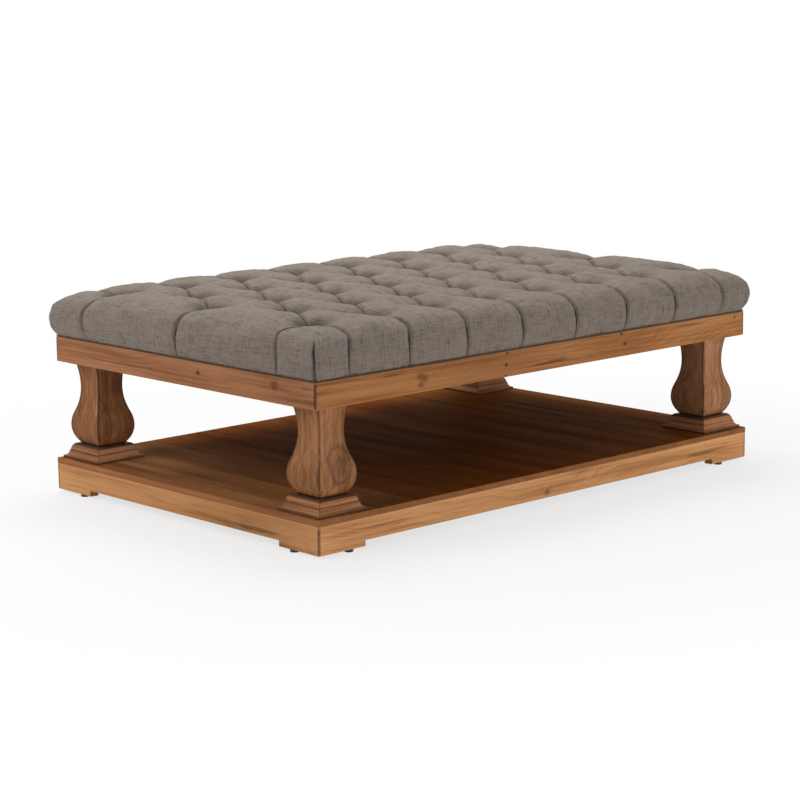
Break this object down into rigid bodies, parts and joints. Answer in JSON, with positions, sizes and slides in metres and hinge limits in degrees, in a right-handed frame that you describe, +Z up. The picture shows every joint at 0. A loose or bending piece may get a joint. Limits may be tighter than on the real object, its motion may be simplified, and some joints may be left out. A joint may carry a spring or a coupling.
{
  "type": "ottoman coffee table",
  "caption": "Rectangular ottoman coffee table: deep-tufted linen top on a pine apron, square baluster legs, and a plinth shelf of boards with bracket feet.",
  "frame": {"origin": "centre of the footprint, on the floor", "axes": "+X along the long side, +Y from front to back, +Z up; the front faces -Y"},
  "size_m": [1.3096, 0.8716, 0.448],
  "materials": {
    "apron_wood": "distressed satin",
    "leg_wood": "distressed satin",
    "plinth_wood": "distressed satin",
    "shelf_wood": "dark satin",
    "frame_wood": "planed, unfinished",
    "plywood": "unfinished",
    "foam": "open-cell foam",
    "cover_fabric": "woven linen",
    "twine": "twisted",
    "dust_cloth": "non-woven",
    "steel": "zinc plated",
    "glide_plastic": "moulded"
  },
  "bodies": {
    "root": {"apron_back": "apron_wood", "apron_front": "apron_wood", "apron_left": "apron_wood", "apron_right": "apron_wood", "apron_screws": "steel", "button_ties": "twine", "cross_rail_left": "frame_wood", "cross_rail_right": "frame_wood", "deck_screws": "steel", "dust_cover": "dust_cloth", "foam_pad": "foam", "foot_glides": "glide_plastic", "leg_back_left": "leg_wood", "leg_back_right": "leg_wood", "leg_base_back_left": "leg_wood", "leg_base_back_right": "leg_wood", "leg_base_front_left": "leg_wood", "leg_base_front_right": "leg_wood", "leg_front_left": "leg_wood", "leg_front_right": "leg_wood", "leg_rods": "steel", "plinth_block_back_left": "frame_wood", "plinth_block_back_right": "frame_wood", "plinth_block_front_left": "frame_wood", "plinth_block_front_right": "frame_wood", "rod_nuts": "steel", "rod_washers": "steel", "seat_deck": "plywood", "shelf_bearer_back": "frame_wood", "shelf_bearer_front": "frame_wood", "shelf_bearer_middle": "frame_wood", "shelf_board_01": "shelf_wood", "shelf_board_02": "shelf_wood", "shelf_board_03": "shelf_wood", "shelf_board_04": "shelf_wood", "shelf_board_05": "shelf_wood", "shelf_board_06": "shelf_wood", "shelf_board_07": "shelf_wood", "shelf_board_08": "shelf_wood", "shelf_board_09": "shelf_wood", "shelf_board_10": "shelf_wood", "shelf_board_11": "shelf_wood", "shelf_board_12": "shelf_wood", "shelf_board_13": "shelf_wood", "shelf_board_14": "shelf_wood", "shelf_screws": "steel", "skirt_back": "plinth_wood", "skirt_front": "plinth_wood", "skirt_left": "plinth_wood", "skirt_right": "plinth_wood", "skirt_screws": "steel", "threaded_inserts": "steel", "tie_washers": "steel", "top_block_back_left": "frame_wood", "top_block_back_right": "frame_wood", "top_block_front_left": "frame_wood", "top_block_front_right": "frame_wood", "tuft_buttons": "cover_fabric", "tufted_cushion": "cover_fabric"}
  },
  "joints": []
}
